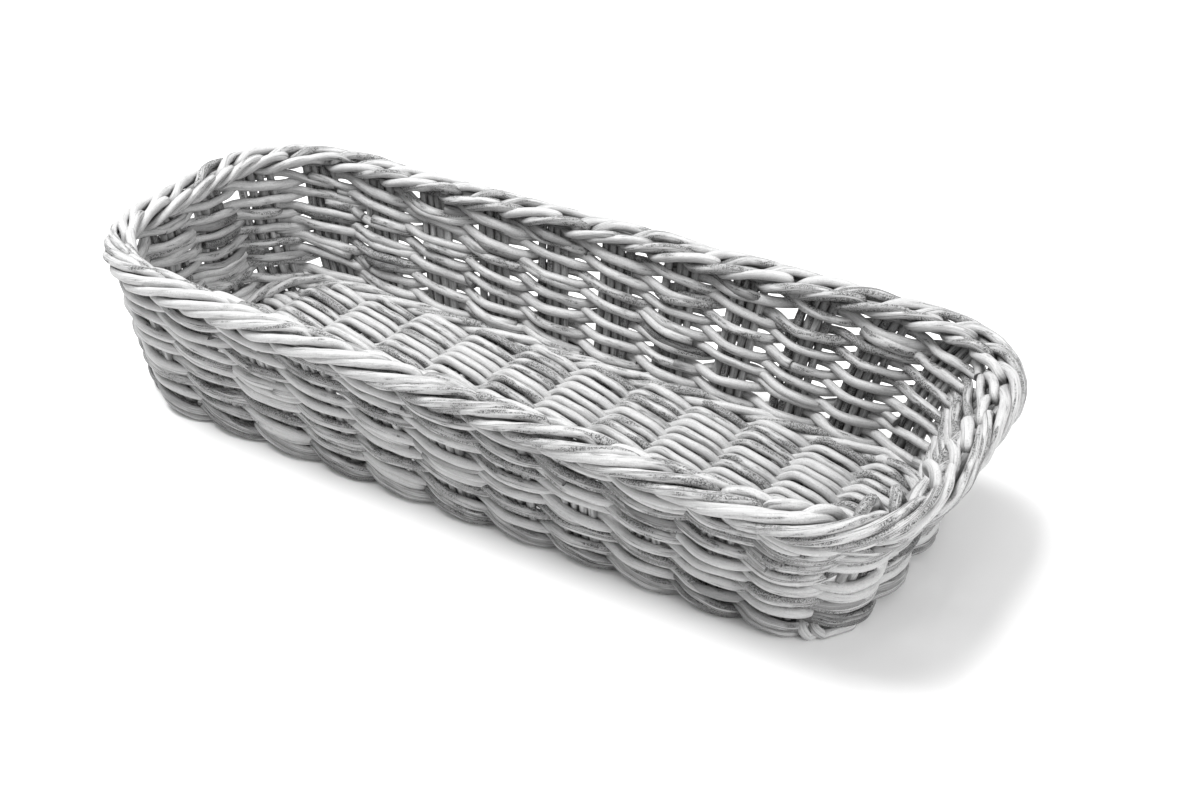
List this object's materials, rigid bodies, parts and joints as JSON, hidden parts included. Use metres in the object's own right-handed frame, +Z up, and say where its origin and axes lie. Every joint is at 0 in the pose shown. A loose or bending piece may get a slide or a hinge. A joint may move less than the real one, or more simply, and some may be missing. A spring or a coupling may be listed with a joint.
{
  "type": "bread basket",
  "caption": "Long, low, rounded-rectangular bread basket hand-woven from greywashed rattan rods, with a wrapped rolled rim and an open weave.",
  "frame": {"origin": "centre of the footprint, on the surface that the basket stands on", "axes": "+X along the basket's length, +Y across it, +Z up out of its open top"},
  "size_m": [0.4, 0.1594, 0.0733],
  "materials": {
    "rattan": "matte greywashed rattan with visible fibre"
  },
  "bodies": {
    "root": {"cross_stakes_01": "rattan", "cross_stakes_02": "rattan", "cross_stakes_03": "rattan", "cross_stakes_04": "rattan", "cross_stakes_05": "rattan", "cross_stakes_06": "rattan", "cross_stakes_07": "rattan", "cross_stakes_08": "rattan", "cross_stakes_09": "rattan", "cross_stakes_10": "rattan", "cross_stakes_11": "rattan", "end_stakes_left": "rattan", "end_stakes_right": "rattan", "floor_weavers_over": "rattan", "floor_weavers_under": "rattan", "foot_strand_inner": "rattan", "foot_strand_outer": "rattan", "rim_core": "rattan", "rim_rods_back": "rattan", "rim_rods_front": "rattan", "rim_rods_left": "rattan", "rim_rods_right": "rattan", "wall_strand_01": "rattan", "wall_strand_02": "rattan", "wall_strand_03": "rattan", "wall_strand_04": "rattan", "wall_strand_05": "rattan", "wall_strand_06": "rattan", "wall_strand_07": "rattan", "wall_strand_08": "rattan", "wall_strand_09": "rattan", "wall_strand_10": "rattan", "wall_strand_11": "rattan", "wall_strand_12": "rattan", "wall_strand_13": "rattan", "wall_strand_14": "rattan", "wall_strand_15": "rattan"}
  },
  "joints": []
}
